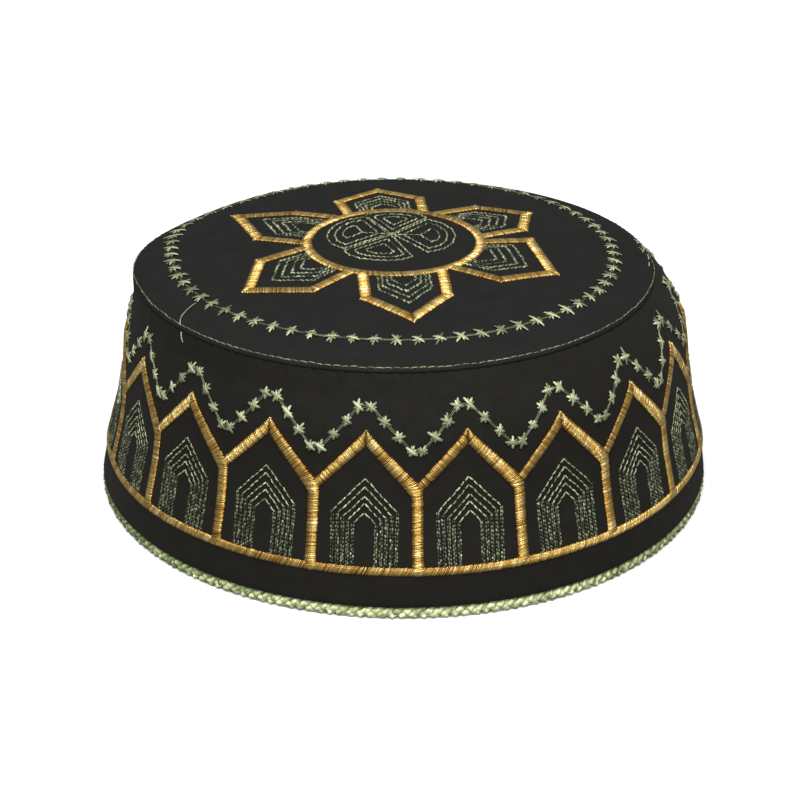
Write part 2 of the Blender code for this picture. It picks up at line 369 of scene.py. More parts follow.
def band_surface(angle, height):
    """The band's outer face at an angle and a height: a turned outline, with slow waves and a
    press that are fullest half way up, and puckers that die away under the seam, sheared near
    the top to follow the crown."""
    share = (height - band_foot) / (band_top - band_foot)
    lean = np.interp(share, band_shares, band_leans)
    beat = np.sin(pucker_counts[0] * angle) + 0.6 * np.sin(pucker_counts[1] * angle + 1.3)
    pucker = pucker_depth * np.exp((height - band_top) / pucker_length) * (beat - 1)
    wave = band_waves * (np.sin(5 * angle + 90 * height) + np.sin(11 * angle - 60 * height))
    wave = wave - 2 * swells(angle, side_presses)
    radius = band_radius(height) + pucker + 2 * wave * share * (1 - share)
    y = -radius * np.cos(angle)
    drop = lean * (tan(crown_turn) * y + swells(angle, rim_drops))
    return np.stack([radius * np.sin(angle) - lean * crown_shift, y, height - drop], -1)


band_columns = 760
outer_rows = 60
hem_rows = 7
inner_rows = 12
band_finish = cloth_finish(
    "band_satin", "UV", (0.0105, 0.0097, 0.0075), (0.0075, 0.007, 0.0054), 0.00022, 0.02
)


def make_band():
    """Rows of a closed ring: up the outer face, down the inner, and round the hem."""
    angle = np.arange(band_columns) * tau / band_columns
    share = np.linspace(0, 1, outer_rows)
    heights = band_foot + (band_top - band_foot) * (1 - (1 - share) ** 1.4)
    outer = band_surface(angle, heights[:, None])
    inner_heights = np.linspace(band_top, band_foot, inner_rows)[:, None]
    inner, normal = raised(band_surface, angle, inner_heights, 0.0)
    inner = inner - band_wall * normal
    foot, out = raised(band_surface, angle, band_foot, 0.0)
    middle = foot - 0.5 * band_wall * out
    turn = np.linspace(pi, 0, hem_rows + 2)[1:-1, None, None]
    down = np.array([0.0, 0.0, -1.0])
    hem = middle + 0.5 * band_wall * (np.cos(turn) * out + 0.5 * np.sin(turn) * down)
    rows = np.concatenate([outer, inner, hem])
    row, column = grid_corners(len(rows), band_columns, True)
    quads = (row % len(rows)) * band_columns + column % band_columns
    girth = tau * foot_radius
    length = np.linalg.norm(np.diff(rows[:, 0], axis=0, append=rows[:1, 0]), axis=1)
    distance = np.concatenate([[0.0], np.cumsum(length)])
    uv = np.stack([column * girth / band_columns, distance[row]], -1)
    inside = (row[:, 0] >= outer_rows) & (row[:, 0] < outer_rows + inner_rows)
    return add_piece(
        "band_cloth",
        rows.reshape(-1, 3),
        [quads],
        uv,
        [band_finish, inside_finish],
        face_finish=inside,
    )


band_cloth = make_band()
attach(band_cloth, "root")
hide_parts("side_band")

# The edge is a plait of three soft sage-green cotton cords, each of two plies, sewn on all
# round under the band's hem and pressed flat underneath, where the cap stands.
braid_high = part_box("edge_braid")[1]
braid_outer = braid_high.x
braid_height = braid_high.z
braid_width = 0.0036
plait_repeats = 66
plait_stations = 14
plait_sides = 7
strand_half = 0.00074
strand_margins = (0.00022, 0.0003)
ply_apart = 0.00036
ply_turns = 3


def tube_faces(threads, rings, sides):
    """Index arrays for closed tubes of rings with a point at each end, and each corner's ring
    and side, where the side keeps on counting past the seam."""
    size = rings * sides + 2
    row, column = grid_corners(rings, sides, False)
    base = np.arange(threads)[:, None, None] * size
    quads = base + (row * sides + column % sides)
    turn = np.arange(sides)
    after = (turn + 1) % sides
    start = np.stack([np.full(sides, rings * sides), after, turn], 1)
    last = (rings - 1) * sides
    end = np.stack([last + turn, last + after, np.full(sides, rings * sides + 1)], 1)
    fans = base + np.concatenate([start, end])
    quad_place = np.stack([row + 1, column], -1)
    start_place = [((0, side), (1, side + 1), (1, side)) for side in range(sides)]
    end_place = [((rings, side), (rings, side + 1), (rings + 1, side)) for side in range(sides)]
    fan_place = np.array(start_place + end_place)
    return quads.reshape(-1, 4), fans.reshape(-1, 3), quad_place, fan_place


def thread_piece(name, lines, up, half_width, half_height, tones, sides, finish):
    """Many threads as one mesh. Each is a tube round its line of points, whose section is a
    half ellipse that lies flat on the cloth, the line's first and last points closing it."""
    threads, stations, _ = lines.shape
    rings = stations - 2
    along = np.gradient(lines, axis=1)
    side = np.cross(up, along)
    side /= np.linalg.norm(side, axis=-1, keepdims=True)
    top = np.cross(along, side)
    top /= np.linalg.norm(top, axis=-1, keepdims=True)
    turn = np.linspace(0, pi, sides)[:, None]
    width = np.broadcast_to(half_width, (threads, stations))[:, 1:-1, None, None]
    height = np.broadcast_to(half_height, (threads, stations))[:, 1:-1, None, None]
    spread = side[:, 1:-1, None] * width * np.cos(turn)
    spread = spread + top[:, 1:-1, None] * height * (np.sin(turn) - 0.4)
    tubes = (lines[:, 1:-1, None] + spread).reshape(threads, -1, 3)
    points = np.concatenate([tubes, lines[:, :1], lines[:, -1:]], 1)
    quads, fans, quad_place, fan_place = tube_faces(threads, rings, sides)
    steps = np.linalg.norm(np.diff(lines, axis=1), axis=-1)
    distance = np.concatenate([np.zeros((threads, 1)), np.cumsum(steps, 1)], 1)
    uv = []
    for place in (quad_place, fan_place):
        travelled = distance[:, place[..., 0]]
        turned = np.broadcast_to(place[..., 1] / sides, travelled.shape)
        uv.append(np.stack([travelled, turned], -1).reshape(-1, 2))
    tones = np.broadcast_to(np.reshape(tones, (threads, -1)), (threads, stations))
    tones = np.concatenate([np.repeat(tones[:, 1:-1], sides, 1), tones[:, [0, -1]]], 1)
    return add_piece(
        name, points.reshape(-1, 3), [quads, fans], np.concatenate(uv), [finish], tones.ravel()
    )


def shaded_ends(tones, stations, depth):
    """Tones along threads: each thread's own in its middle, less towards both ends, by the square
    of the way there: painted shade where the thread dives into the cloth."""
    return tones[:, None] - depth * np.linspace(-1, 1, stations) ** 2


def thread_twist_group():
    """Fine ridges that wind round a thread: a sine wave of twice the turn round it plus the
    length along it over the twist's pitch."""
    tree, start, finish = new_group(
        "thread_twist",
        [("Place", "NodeSocketVector", None), ("Pitch", "NodeSocketFloat", 0.0007)],
        [("Height", "NodeSocketFloat")],
    )
    split = node(tree, "ShaderNodeSeparateXYZ", {0: start.outputs["Place"]})
    along = node(
        tree, "ShaderNodeMath", {0: split.outputs[0], 1: start.outputs["Pitch"]}, operation="DIVIDE"
    )
    phase = node(
        tree,
        "ShaderNodeMath",
        {0: split.outputs[1], 1: 2.0, 2: along.outputs[0]},
        operation="MULTIPLY_ADD",
    )
    turned = node(tree, "ShaderNodeMath", {0: phase.outputs[0], 1: tau}, operation="MULTIPLY")
    ridge = node(tree, "ShaderNodeMath", {0: turned.outputs[0]}, operation="SINE")
    tree.links.new(ridge.outputs[0], finish.inputs["Height"])
    return tree


thread_twist = thread_twist_group()


def thread_finish(name, colours, pitch, rough, metallic=0.0, patch=400.0, drift=0.35, ridge=0.7):
    """Thread whose colour runs through a ramp: each thread has its own tone, and a fine noise
    over the place adds to it. The twist is its bump."""
    made, tree, shader = new_material(name, metallic=metallic)
    tone = node(tree, "ShaderNodeAttribute", attribute_name="tone")
    coordinates = node(tree, "ShaderNodeTexCoord")
    cloud = node(
        tree,
        "ShaderNodeTexNoise",
        {"Vector": coordinates.outputs["Object"], "Scale": patch, "Detail": 2.0},
    )
    shift = node(tree, "ShaderNodeMath", {0: cloud.outputs[0], 1: 0.5}, operation="SUBTRACT")
    shade = node(
        tree,
        "ShaderNodeMath",
        {0: shift.outputs[0], 1: drift, 2: tone.outputs["Fac"]},
        operation="MULTIPLY_ADD",
    )
    ramp = node(tree, "ShaderNodeValToRGB", {0: shade.outputs[0]})
    while len(ramp.color_ramp.elements) < len(colours):
        ramp.color_ramp.elements.new(0.5)
    for number, colour in enumerate(colours):
        ramp.color_ramp.elements[number].position = number / (len(colours) - 1)
        ramp.color_ramp.elements[number].color = (*colour, 1.0)
    dull = node(tree, "ShaderNodeMapRange", {0: shade.outputs[0], 3: rough[0], 4: rough[1]})
    twist = node(tree, "ShaderNodeGroup", node_tree=thread_twist)
    twist.inputs["Pitch"].default_value = pitch
    tree.links.new(coordinates.outputs["UV"], twist.inputs["Place"])
    bump = node(
        tree,
        "ShaderNodeBump",
        {"Height": twist.outputs["Height"], "Distance": 0.00003, "Strength": ridge},
    )
    tree.links.new(ramp.outputs[0], shader.inputs["Base Color"])
    tree.links.new(dull.outputs[0], shader.inputs["Roughness"])
    tree.links.new(bump.outputs[0], shader.inputs["Normal"])
    return made


braid_colours = ((0.02, 0.03, 0.009), (0.19, 0.25, 0.09), (0.8, 0.83, 0.48))
braid_finish = thread_finish("braid_cotton", braid_colours, 0.0016, (0.75, 0.6))


def make_plait():
    """Three cords whose middles swing across the plait and in and out of it, a third of a
    repeat apart, each of two plies that wind round the cord's middle. All close on themselves.
    A place is paler the further out in the plait it lies, painted shade in the plait's hollows, and
    the whole front is paler too, painted light."""
    count = plait_repeats * plait_stations
    angle = np.arange(count) * tau / count
    phase = plait_repeats * angle
    swing_across = 0.5 * braid_height - strand_half - strand_margins[0]
    swing_deep = 0.5 * braid_width - strand_half - strand_margins[1]
    lines = []
    for strand in range(3):
        start = tau * strand / 3
        up = 0.5 * braid_height + swing_across * np.sin(phase + start)
        out = braid_outer - 0.5 * braid_width + swing_deep * np.sin(2 * (phase + start))
        for ply in range(2):
            twist = ply_turns * phase + pi * ply + start
            radius = out + ply_apart * np.cos(twist)
            height = up + ply_apart * np.sin(twist)
            lines.append(np.stack([radius * np.sin(angle), -radius * np.cos(angle), height], -1))
    lines = np.array(lines)
    ahead = np.roll(lines, -1, 1) - np.roll(lines, 1, 1)
    ahead /= np.linalg.norm(ahead, axis=-1, keepdims=True)
    outward = np.stack([np.sin(angle), -np.cos(angle), 0 * angle], -1)
    side = np.cross(outward, ahead)
    side /= np.linalg.norm(side, axis=-1, keepdims=True)
    top = np.cross(ahead, side)
    turn = (np.arange(plait_sides) * tau / plait_sides)[:, None]
    ring = side[:, :, None] * np.cos(turn) + top[:, :, None] * np.sin(turn)
    points = lines[:, :, None] + strand_half * ring
    points[..., 2] = np.maximum(points[..., 2], 0.0)
    row, column = grid_corners(count, plait_sides, True)
    base = np.arange(len(lines))[:, None, None] * count * plait_sides
    quads = base + (row % count) * plait_sides + column % plait_sides
    step = tau * braid_outer / count
    uv = np.stack([row * step, column / plait_sides], -1)
    outer = np.linalg.norm(lines[..., :2], axis=-1) - braid_outer + 0.5 * braid_width
    tones = 0.19 + 0.16 * chance.standard_normal((len(lines), count))
    # Painted shade and light: darker deep in the plait's hollows, and paler all along the front.
    tones = tones + 0.88 * outer / braid_width + 0.44 * np.exp(3 * (np.cos(angle) - 1))
    return add_piece(
        "edge_plait",
        points.reshape(-1, 3),
        [quads.reshape(-1, 4)],
        np.tile(uv, (len(lines), 1, 1)),
        [braid_finish],
        tones=np.repeat(tones.ravel(), plait_sides),
    )


edge_plait = make_plait()
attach(edge_plait, "root")
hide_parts("edge_braid")

# The gold arcade is satin stitch in silky old-gold thread, worked over padding on the band:
# a rail all round, posts on it, and between the posts pairs of gables that meet in a point.
# Each falling gable runs on into its post, and the next gable starts behind it.
arches = 19
arcade_turn = radians(2.5)
arcade_foot, arcade_tip = 0.0134, 0.0553
rail_width = 0.0027
rail_slant = 62
post_half = 0.0018
post_flare = 0.0007
post_slant = 0.00025
gable_notch = 0.0402
gable_apex = 0.0506
gable_corner = (0.0362, 0.0380)
gable_overlap = 0.0008
gable_run_in = 0.0024
gable_runout = 0.003
rising_turn, falling_turn = 138, 42
satin_pitch = 0.00038
satin_rise = 0.00056
satin_half = 0.00023
satin_height = 0.00032
satin_rings = 4
thread_grain = 900
thread_sunk = 0.0001
half_bay = tan(pi / arches)
post_angles = arcade_turn + np.arange(arches) * tau / arches

# Where the pattern was worked taller: degrees round the cap, metres at the tips, and focus
arcade_climbs = ((88, 0.0026, 6.0),)

gold_colours = ((0.13, 0.045, 0.008), (0.34, 0.175, 0.03), (0.58, 0.42, 0.125), (0.9, 0.8, 0.51))
gold_finish = thread_finish(
    "gold_silk", gold_colours, 0.0006, (0.42, 0.27), 0.75, patch=1200.0, drift=0.5, ridge=0.2
)


def satin_stitch(outline, start, finish, shares, turns, before=0.0, beyond=0.0):
    """Satin stitches that fill a convex outline, given anticlockwise: middles a pitch apart on
    a straight line, which is carried on at its ends where the outline is cut aslant, a thread
    through each at the turn read there, and its ends where it leaves the outline."""
    outline, start, finish = np.array(outline), np.array(start), np.array(finish)
    length = np.hypot(*(finish - start))
    count = int((before + length + beyond) / satin_pitch)
    share = ((np.arange(count) + 0.5) * satin_pitch - before) / length
    middle = start + share[:, None] * (finish - start)
    turn = np.radians(np.interp(share, shares, turns))
    way = np.stack([np.cos(turn), np.sin(turn)], -1)
    edge = np.roll(outline, -1, 0) - outline
    inward = np.stack([-edge[:, 1], edge[:, 0]], -1)
    depth = ((middle[:, None] - outline) * inward).sum(-1)
    speed = (way[:, None] * inward).sum(-1)
    reach = -depth / np.where(np.abs(speed) < 1e-12, 1e-12, speed)
    near = np.where(speed > 0, reach, -np.inf).max(1)
    far = np.where(speed <= 0, reach, np.inf).min(1)
    kept = far - near > 0.5 * satin_pitch
    ends = middle[:, None] + np.stack([near, far], 1)[..., None] * way[:, None]
    return ends[kept]


def laid(ends, rise, rings, bluntness=0.5, stray=0.00006, full_length=0.0010):
    """Threads laid from end to end over padding: points along each, and their height over the
    cloth, a blunted half wave that starts and finishes just under the surface. A thread under
    the full length rises less."""
    ends = ends + stray * chance.standard_normal(ends.shape)
    share = (1 - np.cos(np.linspace(0, pi, rings + 2))) / 2
    points = ends[:, None, 0] + share[:, None] * (ends[:, None, 1] - ends[:, None, 0])
    length = np.linalg.norm(ends[:, 1] - ends[:, 0], axis=1)
    rise = (np.broadcast_to(rise, len(ends)) * np.minimum(1, length / full_length))[:, None]
    lift = (rise + thread_sunk) * np.sin(pi * share) ** bluntness - thread_sunk
    return points, lift * (1 + 0.05 * chance.standard_normal((len(ends), 1)))


def on_band(points, lift, middle):
    """Places on the band for (along, height) points about an angle, which turns by the arc
    tangent of the length along over the band's radius. Where the pattern was worked taller,
    the height climbs with its share of the arcade's."""
    angle = middle + np.arctan(points[..., 0] / band_radius(points[..., 1]))
    share = (points[..., 1] - arcade_foot) / (arcade_tip - arcade_foot)
    height = points[..., 1] + swells(angle, arcade_climbs) * share
    return raised(band_surface, angle, height, lift)


def thread_tones(points, middle, grain, bundling=0.05):
    """A tone for each thread: a slow drift of the place, a share in common with its neighbours
    in a bundle of two or three, and a share of its own."""
    place = points.mean(1)
    drift = np.sin(place[:, 0] * grain + 9 * middle) * np.sin(place[:, 1] * grain + 5 * middle)
    bundle = np.cumsum(chance.random(len(place)) < 0.5)
    shared = chance.standard_normal(bundle[-1] + 1)[bundle]
    own = chance.standard_normal(len(place))
    return 0.58 + 0.05 * drift + bundling * shared + 0.13 * own


def gold_posts():
    """Threads across the post, a pitch apart, each longer by a flare that dies away over its
    own length above the rail."""
    foot = arcade_foot + 0.6 * rail_width
    count = int((gable_corner[0] + gable_overlap - foot) / satin_pitch)
    height = foot + np.arange(count) * satin_pitch
    half = post_half + post_flare * np.exp((foot - height) / 0.0008)
    left = np.stack([-half, height - post_slant], 1)
    right = np.stack([half, height + post_slant], 1)
    return np.stack([left, right], 1)


def gold_rail():
    """Slanting threads along the rail, from one post to the next."""
    half = half_bay * band_radius(arcade_foot + 0.5 * rail_width)
    low, high = arcade_foot, arcade_foot + rail_width
    wide = 2 * half
    outline = [(-wide, low), (wide, low), (wide, high), (-wide, high)]
    middle = 0.5 * (low + high)
    return satin_stitch(outline, (-half, middle), (half, middle), (0, 1), (rail_slant,) * 2)


def gold_gable(rising):
    """One gable beside its post, from (along, height) corners round it: threads square to it,
    and on the falling one fanning round to lie level where it runs into the post."""
    half_tip = half_bay * band_radius(arcade_tip)
    half_apex = half_bay * band_radius(gable_apex)
    if rising:
        outline = [
            (post_half, gable_corner[1]),
            (half_apex, gable_apex),
            (half_tip, arcade_tip),
            (0.0, gable_notch),
            (0.0, gable_corner[1] + gable_overlap),
        ]
        start = (gable_overlap, gable_corner[1] + 0.0010)
        finish = (half_tip, 0.5 * (gable_apex + arcade_tip))
        return satin_stitch(outline, start, finish, (0, 1), (rising_turn,) * 2, beyond=gable_runout)
    outline = [
        (-half_tip, arcade_tip),
        (-half_apex, gable_apex),
        (-post_half, gable_corner[0]),
        (post_half, gable_corner[0]),
        (post_half, gable_corner[0] + gable_run_in),
        (0.0004, gable_notch),
    ]
    start = (-half_tip, 0.5 * (gable_apex + arcade_tip))
    finish = (0.0, gable_corner[0])
    shares, turns = (0, 0.7, 0.86, 1), (falling_turn, falling_turn, 12, 0)
    return satin_stitch(outline, start, finish, shares, turns, before=gable_runout)


def make_arcade():
    """Every thread of one post, its rail and its two gables, repeated at each post. The threads at
    the cap's two sides are a little paler: painted light."""
    groups = [
        (gold_rail(), satin_rise * 0.8),
        (gold_gable(True), satin_rise),
        (gold_posts(), satin_rise),
        (gold_gable(False), satin_rise * 1.15),
    ]
    ends = np.concatenate([group for group, _ in groups])
    rise = np.concatenate([np.full(len(group), height) for group, height in groups])
    count = len(ends)
    ends = np.tile(ends, (arches, 1, 1))
    middle = np.repeat(post_angles, count)
    points, lift = laid(ends, np.tile(rise, arches), satin_rings, 0.7)
    lines, up = on_band(points, lift, middle[:, None])
    # Painted light: the threads are paler towards the cap's two sides, where the lamps give them
    # less highlight.
    tones = thread_tones(points, middle, thread_grain) + 0.13 * np.sin(middle) ** 2 - 0.02
    # Painted shade: each thread is darker towards its ends, where it dives into the cloth.
    tones = shaded_ends(tones, satin_rings + 2, 0.6)
    section = (satin_half, satin_height)
    return thread_piece("arcade_threads", lines, up, *section, tones, 5, gold_finish)


arcade_threads = make_arcade()
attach(arcade_threads, "root")
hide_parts("gold_arcade")

# The gold flower on the crown is the same satin stitch: a ring, and round it six petals of
# four straight strips each. They were worked by hand and are not quite alike.
flower_turn = radians(6.0)
flower_shift = 0.0021
ring_inner, ring_width = 0.0246, 0.0034
ring_outer = ring_inner + ring_width
petal_width = 0.0038
petal_tuck = 0.15 * ring_width
strip_runout = 0.004
flower_rise = 0.00036
petal_tip = seam_radius - 0.0232
petal_foot = radians(29.2)
petal_shoulder = ring_outer + 0.54 * (petal_tip - ring_outer)

# Degrees that the tip is turned, the tip's reach, and degrees out to each shoulder
petals = (
    (0.0, 1.00, -19.0, 18.0),
    (1.0, 0.95, -19.5, 33.0),
    (0.0, 0.96, -19.0, 18.0),
    (0.0, 0.96, -19.0, 21.0),
    (-8.0, 1.09, -20.5, 18.0),
    (2.0, 1.00, -20.0, 22.0),
)


def flower_points(radius, angle):
    """(x, y) in the crown's plane of places about the flower's middle."""
    return np.stack([radius * np.sin(angle), -flower_shift - radius * np.cos(angle)], -1)


def petal_outline(number):
    """A petal's five corners, anticlockwise: its feet on the ring's outer edge, a shoulder on
    each side and its tip, each at its own radius and angle from the petal's middle line."""
    tip_turn, reach, first, second = petals[number]
    radius = np.array([ring_outer, petal_shoulder, petal_tip * reach, petal_shoulder, ring_outer])
    turn = np.array([-petal_foot, radians(first), radians(tip_turn), radians(second), petal_foot])
    return flower_points(radius, flower_turn + tau * number / len(petals) + turn)


def inset(outline, widths):
    """A convex outline, anticlockwise, with each side moved inward by its own width: each new
    corner is where the moved lines on its two sides cross."""
    edge = np.roll(outline, -1, 0) - outline
    normal = np.stack([-edge[:, 1], edge[:, 0]], 1) / np.hypot(*edge.T)[:, None]
    offset = (normal * outline).sum(1) + np.array(widths)
    normals = np.stack([np.roll(normal, 1, 0), normal], 1)
    offsets = np.stack([np.roll(offset, 1), offset], 1)
    return np.linalg.solve(normals, offsets[..., None])[..., 0]


def petal_strip(outer_start, outer_end, inner_start, inner_end):
    """Threads nearly square to a straight strip, between its outer side and its inner side."""
    outline = [outer_start, outer_end, inner_end, inner_start]
    way = np.degrees(np.arctan2(*(outer_end - outer_start)[::-1])) + 94
    start = 0.5 * (outer_start + inner_start)
    finish = 0.5 * (outer_end + inner_end)
    return satin_stitch(outline, start, finish, (0, 1), (way,) * 2, strip_runout, strip_runout)


def ring_threads():
    """Short threads across the ring, a little slanted, a pitch apart round its middle."""
    count = int(tau * (ring_inner + 0.5 * ring_width) / satin_pitch)
    angle = np.arange(count) * tau / count
    slant = radians(1.2)
    inner = flower_points(ring_inner, angle - slant)
    return np.stack([inner, flower_points(ring_outer, angle + slant)], 1)


def make_flower():
    """The six petals' four strips each, then the ring over their feet."""
    groups = []
    for number in range(len(petals)):
        outline = petal_outline(number)
        inner = inset(outline, (petal_width,) * 4 + (-petal_tuck,))
        for side in range(4):
            strip = (outline[side], outline[side + 1], inner[side], inner[side + 1])
            groups.append(petal_strip(*strip))
    strips = np.concatenate(groups)
    ring = ring_threads()
    ends = np.concatenate([strips, ring])
    rise = flower_rise * np.where(np.arange(len(ends)) < len(strips), 1.0, 1.1)
    points, lift = laid(ends, rise, satin_rings, 0.7)
    lines, up = raised(crown_surface, points[..., 0], points[..., 1], lift)
    # Painted light: the flower's threads are a little paler than the arcade's, though they are the
    # same thread.
    # Painted shade: each thread is darker towards its ends, where it dives into the cloth.
    tones = shaded_ends(thread_tones(points, 0.0, thread_grain) + 0.06, satin_rings + 2, 0.7)
    section = (satin_half, satin_height)
    return thread_piece("flower_threads", lines, up, *section, tones, 5, gold_finish)


flower_threads = make_flower()
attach(flower_threads, "root")
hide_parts("gold_flower")

# Inside each arch, five nested lines of sage-green backstitch follow the arch's shape, worked
# in a stranded cotton that sinks a little into the cloth at every stitch.
line_apexes = (0.0414, 0.0390, 0.0362, 0.0341, 0.0314)
line_halves = (0.0092, 0.0077, 0.0062, 0.0048, 0.0033)
line_shoulders = (0.0316, 0.0307, 0.0298, 0.0289, 0.0280)
line_foot = 0.0154
green_stitch = 0.0019
green_half = 0.00024
green_height = 0.0002
green_rise = 0.00032
leg_stitch = 0.0011
leg_half = 0.00027
leg_rise = 0.0003
leg_apart = 0.00026
leg_stagger = 0.0007

green_colours = ((0.03, 0.034, 0.02), (0.16, 0.18, 0.1), (0.34, 0.37, 0.21), (0.58, 0.61, 0.38))
green_finish = thread_finish(
    "green_silk", green_colours, 0.0008, (0.55, 0.4), metallic=0.3, drift=0.3
)


def backstitch(corners, stitch):
    """Stitches end to end along a chain of straight legs, a whole number to each leg."""
    ends = []
    for start, finish in zip(corners[:-1], corners[1:]):
        count = max(1, round(np.hypot(*(finish - start)) / stitch))
        steps = np.linspace(start, finish, count + 1)
        ends.append(np.stack([steps[:-1], steps[1:]], 1))
    return np.concatenate(ends)


def make_arch_lines():
    """The nested lines of one arch, repeated in every bay: a gable each, and legs of two rows of
    shorter stitches side by side, which sink deeper, and whose darker tone is painted shade."""
    legs = []
    gables = []
    for apex, half, shoulder in zip(line_apexes, line_halves, line_shoulders):
        gable = np.array([(-half, shoulder), (0.0, apex), (half, shoulder)])
        gables.append(backstitch(gable, green_stitch))
        for side in (-half, half):
            for row, foot in ((side - leg_apart, 0.0), (side + leg_apart, leg_stagger)):
                leg = np.array([(row, line_foot + foot), (row, shoulder)])
                legs.append(backstitch(leg, leg_stitch))
    ends = np.concatenate(gables + legs)
    leg = np.tile(np.arange(len(ends)) >= sum(len(group) for group in gables), arches)
    middle = np.repeat(post_angles + pi / arches, len(ends))
    rise = np.where(leg, leg_rise, green_rise)
    points, lift = laid(np.tile(ends, (arches, 1, 1)), rise, 3, 1.0, 0.0001, leg_stitch)
    lines, up = on_band(points, lift, middle[:, None])
    # Painted shade: the legs' lower tone stands for upright threads catching less light, though
    # they are the same thread as the gables.
    tones = 0.6 - 0.46 * leg + 0.2 * chance.standard_normal(len(leg))
    half = np.where(leg, leg_half, green_half)[:, None]
    return thread_piece("arch_lines", lines, up, half, green_height, tones, 4, green_finish)


arch_lines = make_arch_lines()
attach(arch_lines, "root")

# Over the arcade runs a zigzag of little stars, and round the crown a ring of them. Each star
# is four tapering strokes that cross at its middle, worked over a thin doubled thread that
# runs on from star to star.
stroke_shares = np.array([0.78, 1.0, 0.74, 1.06])
stroke_half = 0.0005
star_height = 0.00018
stroke_step = 0.00007
stroke_rise = 0.00055
join_half = 0.00015
join_apart = 0.0002
join_rise = 0.00025
star_rings = 4
zigzag_angles = (-8.475, -6.1, -3.6, -1.25, 1.25, 3.6, 6.1, 8.475)
zigzag_heights = (0.0495, 0.0534, 0.0572, 0.0607, 0.0607, 0.0572, 0.0534, 0.0495)
zigzag_star = 0.0042


def star_ends(middles, size, longer=0.0):
    """Strokes through each middle, evenly turned but for a small stray, with a turn of its own
    for each star. They may be longer, by a share, in the direction away from the origin."""
    strokes = len(stroke_shares)
    turn = np.arange(strokes) * pi / strokes + chance.normal(0.3, 0.25, (len(middles), 1))
    turn = turn + chance.normal(0, 0.12, turn.shape)
    half = 0.5 * size * stroke_shares * (1 + 0.1 * chance.standard_normal(turn.shape))
    way = np.stack([np.cos(turn), np.sin(turn)], -1) * half[..., None]
    out = (middles / np.hypot(*middles.T)[:, None])[:, None]
    way = way + longer * (way * out).sum(-1, keepdims=True) * out
    return np.stack([middles[:, None] - way, middles[:, None] + way], 2).reshape(-1, 2, 2)


def joining_ends(starts, finishes):
    """Two thin threads side by side from each start to its finish."""
    ahead = finishes - starts
    side = np.stack([-ahead[:, 1], ahead[:, 0]], 1) / np.hypot(*ahead.T)[:, None] * join_apart
    return np.concatenate([
        np.stack([starts + side, finishes + side], 1),
        np.stack([starts - side, finishes - side], 1),
    ])


def laid_stars(joins, stars):
    """The joining threads laid flat and the stars over them, each stroke a step above the one
    before: their points, heights, tones and half widths."""
    strokes = len(stroke_shares)
    count = len(stars) // strokes
    rise = np.concatenate([np.full(len(joins), join_rise), np.full(len(stars), stroke_rise)])
    points, lift = laid(np.concatenate([joins, stars]), rise, star_rings, 0.45)
    step = np.concatenate([np.zeros(len(joins)), np.tile(np.arange(strokes), count)]) * stroke_step
    lift = lift + step[:, None] * (lift > 0)
    tones = [chance.uniform(0.15, 0.45, len(joins)), chance.uniform(0.35, 0.95, len(stars))]
    # Painted shade: each stroke and join is darker towards its ends, where it dives into the cloth.
    tones = shaded_ends(np.concatenate(tones), star_rings + 2, 0.3)
    taper = 0.22 + 0.78 * np.sin(np.linspace(0, pi, star_rings + 2))
    half = np.tile(stroke_half * stroke_shares[:, None] * taper, (count, 1))
    half = np.concatenate([np.full((len(joins), star_rings + 2), join_half), half])
    return points, lift, tones, half


def make_zigzag():
    """Each star about its own angle on the band, and its joining threads to the next star."""
    turns = (post_angles[:, None] + pi / arches + np.radians(zigzag_angles)).ravel()
    levels = np.tile(zigzag_heights, arches)
    middles = np.stack([0 * turns, levels], 1)
    step = (np.roll(turns, -1) - turns) % tau * band_radius(levels)
    joins = joining_ends(middles, np.stack([step, np.roll(levels, -1)], 1))
    stars = star_ends(middles, zigzag_star)
    owner = np.concatenate([np.tile(turns, 2), np.repeat(turns, len(stroke_shares))])
    points, lift, tones, half = laid_stars(joins, stars)
    lines, up = on_band(points, lift, owner[:, None])
    return thread_piece("zigzag_stars", lines, up, half, star_height, tones, 5, green_finish)


zigzag_stars = make_zigzag()
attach(zigzag_stars, "root")

# The crown's ring of stars is the same work in the same thread. It was led by hand too, and
# swings outward at the back of one side and at the back.
ring_stars = 69
ring_radius = 0.0670
ring_star = 0.0047
ring_star_longer = 0.3
ring_turn = radians(0.8)

# Degrees round the cap, metres outward, and focus
ring_swings = ((-116, 0.0055, 18.0), (178, 0.0026, 6.0))


def make_star_ring():
    """Stars evenly turned about the crown's middle, at a radius that swells with the swings,
    and the joining threads from each to the next."""
    turn = ring_turn + np.arange(ring_stars + 1) * tau / ring_stars
    radius = ring_radius + swells(turn, ring_swings)
    middles = radius[:, None] * np.stack([np.sin(turn), -np.cos(turn)], 1)
    joins = joining_ends(middles[:-1], middles[1:])
    stars = star_ends(middles[:-1], ring_star, ring_star_longer)
    points, lift, tones, half = laid_stars(joins, stars)
    lines, up = raised(crown_surface, points[..., 0], points[..., 1], lift)
    tones = tones - 0.1
    return thread_piece("star_ring", lines, up, half, star_height, tones, 5, green_finish)


star_ring = make_star_ring()
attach(star_ring, "root")

# The flower is filled with green backstitch: nested lines in each petal, open to the ring,
# and in the ring a rosette of four lobes, each of three nested loops.
petal_shares = (0.77, 0.64, 0.5, 0.36)
petal_stitch = 0.0014
petal_half = 0.0004
window_foot = 0.0006
filling_grain = 1500
rosette_middle = (-0.0009, 0.0017)
rosette_radius = 0.0196
rosette_half = 0.00031
lobe_step = 0.0024
loop_rounding = 0.09

# The lobes: the degrees at their middle, half the degrees that they take up, their reach as a
# share, and how far each loop's sides keep from the lobe's own two edges, in metres
lobes = (
    (-14.0, 35.0, 1.05, (0.0002, 0.0022, 0.0045)),
    (90.0, 53.0, 1.0, (0.0006, 0.0029, 0.0071)),
    (175.0, 31.0, 1.07, (0.0002, 0.0022, 0.0043)),
    (-103.0, 52.0, 1.0, (0.0006, 0.0029, 0.0071)),
)


